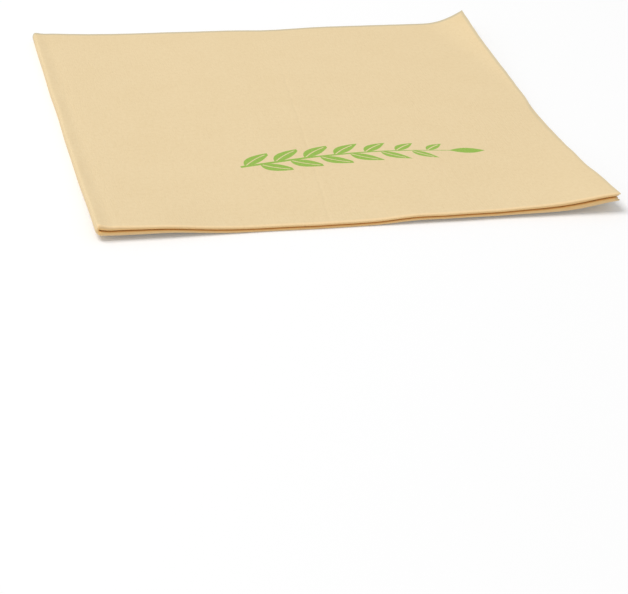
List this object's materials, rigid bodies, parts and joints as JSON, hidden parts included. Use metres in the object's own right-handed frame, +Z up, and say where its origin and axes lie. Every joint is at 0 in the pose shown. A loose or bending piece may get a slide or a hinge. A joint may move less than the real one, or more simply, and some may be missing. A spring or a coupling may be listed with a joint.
{
  "type": "paper napkin",
  "caption": "Unbleached brown paper napkin folded into a flat square, with softly curled corners, a rolled side fold, open cut edges and a small green leaf print on its top face.",
  "frame": {"origin": "middle of the underside, on the surface that the napkin lies on", "axes": "+Z up through the layers, +X along the front fold towards the open side, +Y from the front fold towards the cut back edge; the rolled fold is at -X"},
  "size_m": [0.1654, 0.165, 0.0072],
  "materials": {
    "unbleached_tissue": "matte unbleached crepe tissue, warm light brown"
  },
  "bodies": {
    "root": {"napkin": "unbleached_tissue"}
  },
  "joints": []
}
